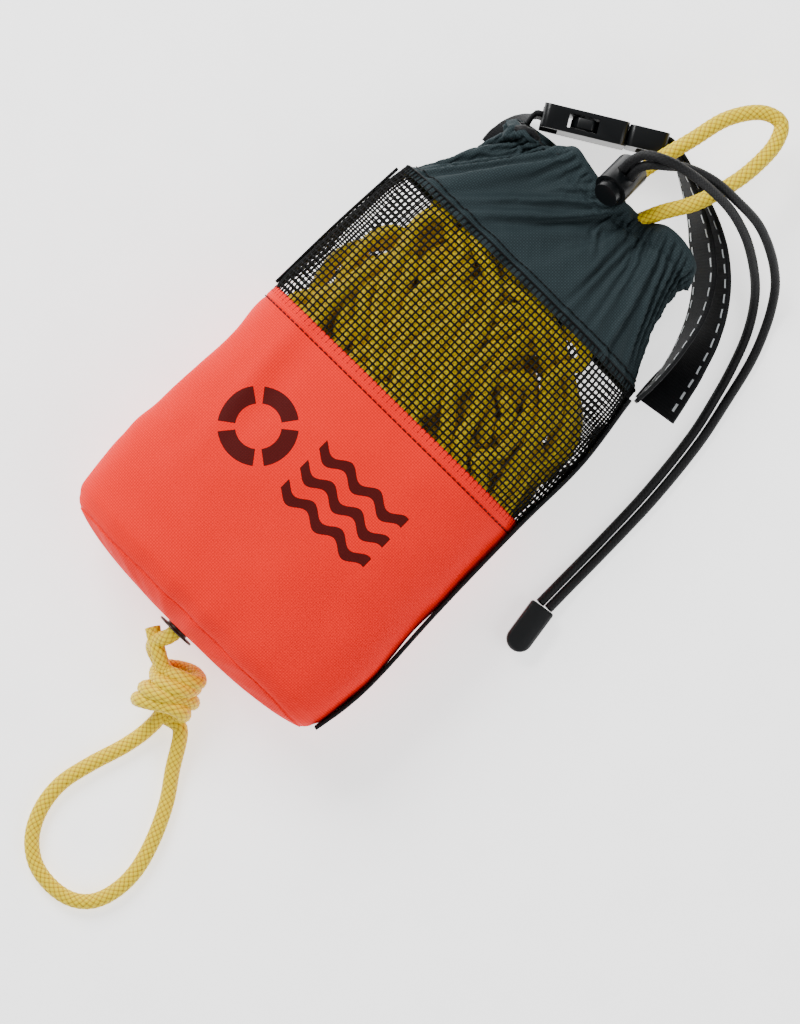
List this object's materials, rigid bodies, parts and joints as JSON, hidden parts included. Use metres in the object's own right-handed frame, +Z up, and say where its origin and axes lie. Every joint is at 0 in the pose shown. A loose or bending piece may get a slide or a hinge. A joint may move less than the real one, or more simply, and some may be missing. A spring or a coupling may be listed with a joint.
{
  "type": "throw rope bag",
  "caption": "Cloth throw bag stuffed with floating rescue rope, with a net window, a gathered mouth with cord lock, a buckled strap and a knotted hand loop.",
  "frame": {"origin": "middle of the flat underside that the bag lies on, on the bag's centreline", "axes": "+Y along the bag towards its gathered mouth, +X towards the side with the sewn webbing, +Z up from the surface it lies on"},
  "size_m": [0.1813, 0.4419, 0.0721],
  "materials": {
    "orange_cloth": "coated pack cloth",
    "grey_cloth": "coated pack cloth",
    "net": "square polyester net",
    "foam": "closed-cell foam",
    "eyelet_metal": "blackened",
    "rope": "braided polypropylene",
    "webbing": "woven, reflective tracers",
    "binding": "woven tape",
    "thread": "bonded thread",
    "buckle_plastic": "moulded acetal",
    "drawcord": "braided nylon",
    "cord_end_black": "moulded",
    "cord_end_red": "moulded",
    "lock_plastic": "moulded acetal",
    "spring_steel": "drawn wire"
  },
  "bodies": {
    "root": {"main_panel": "orange_cloth", "bottom_panel": "orange_cloth", "mesh_panel": "net", "collar": "grey_cloth", "foam_float": "foam", "grommet": "eyelet_metal", "grommet_washer": "eyelet_metal", "stuffed_rope": "rope", "stopper_knot": "rope", "tail_rope": "rope", "tail_knot": "rope", "tail_loop": "rope", "tail_tip": "rope", "mouth_loop": "rope", "side_webbing": "webbing", "side_binding": "binding", "panel_hem_thread": "thread", "collar_hem_thread": "thread", "socket_tab": "webbing", "buckle_socket": "buckle_plastic", "buckle_strap": "webbing", "strap_tail": "webbing", "drawcord_ring": "drawcord", "drawcord_inner": "drawcord", "drawcord_outer": "drawcord", "cord_end_front": "cord_end_black", "cord_end_back": "cord_end_red"},
    "plug": {"plug_base": "buckle_plastic", "strap_lead": "webbing"},
    "arm_upper": {"plug_arm_upper": "buckle_plastic"},
    "arm_lower": {"plug_arm_lower": "buckle_plastic"},
    "cord_lock": {"lock_barrel": "lock_plastic", "lock_spring": "spring_steel"},
    "plunger": {"lock_plunger": "lock_plastic"}
  },
  "joints": [
    {"name": "buckle_release", "type": "slide", "parent": "root", "child": "plug", "axis": [0.8572, 0.515, 0], "range_m": [0, 0.028], "deforming": ["plug_arm_upper", "plug_arm_lower"]},
    {"name": "arm_upper_press", "type": "hinge", "parent": "plug", "child": "arm_upper", "pos_m": [-0.01153, 0.15688, 0.0214], "axis": [-0.515, 0.8572, 0], "range_deg": [-11, 0], "stiffness_Nm_per_rad": 0.6},
    {"name": "arm_lower_press", "type": "hinge", "parent": "plug", "child": "arm_lower", "pos_m": [-0.01153, 0.15688, 0.0078], "axis": [-0.515, 0.8572, 0], "range_deg": [0, 11], "stiffness_Nm_per_rad": 0.6},
    {"name": "lock_slide", "type": "slide", "parent": "root", "child": "cord_lock", "axis": [0, 0.5736, 0.8192], "range_m": [0, 0.005]},
    {"name": "lock_press", "type": "slide", "parent": "cord_lock", "child": "plunger", "axis": [0, 0.8192, -0.5736], "range_m": [0, 0.003], "stiffness_N_per_m": 800, "deforming": ["lock_spring"]}
  ],
  "couplings": [
    {"joint": "arm_lower_press", "follows": "arm_upper_press", "ratio": -1}
  ]
}
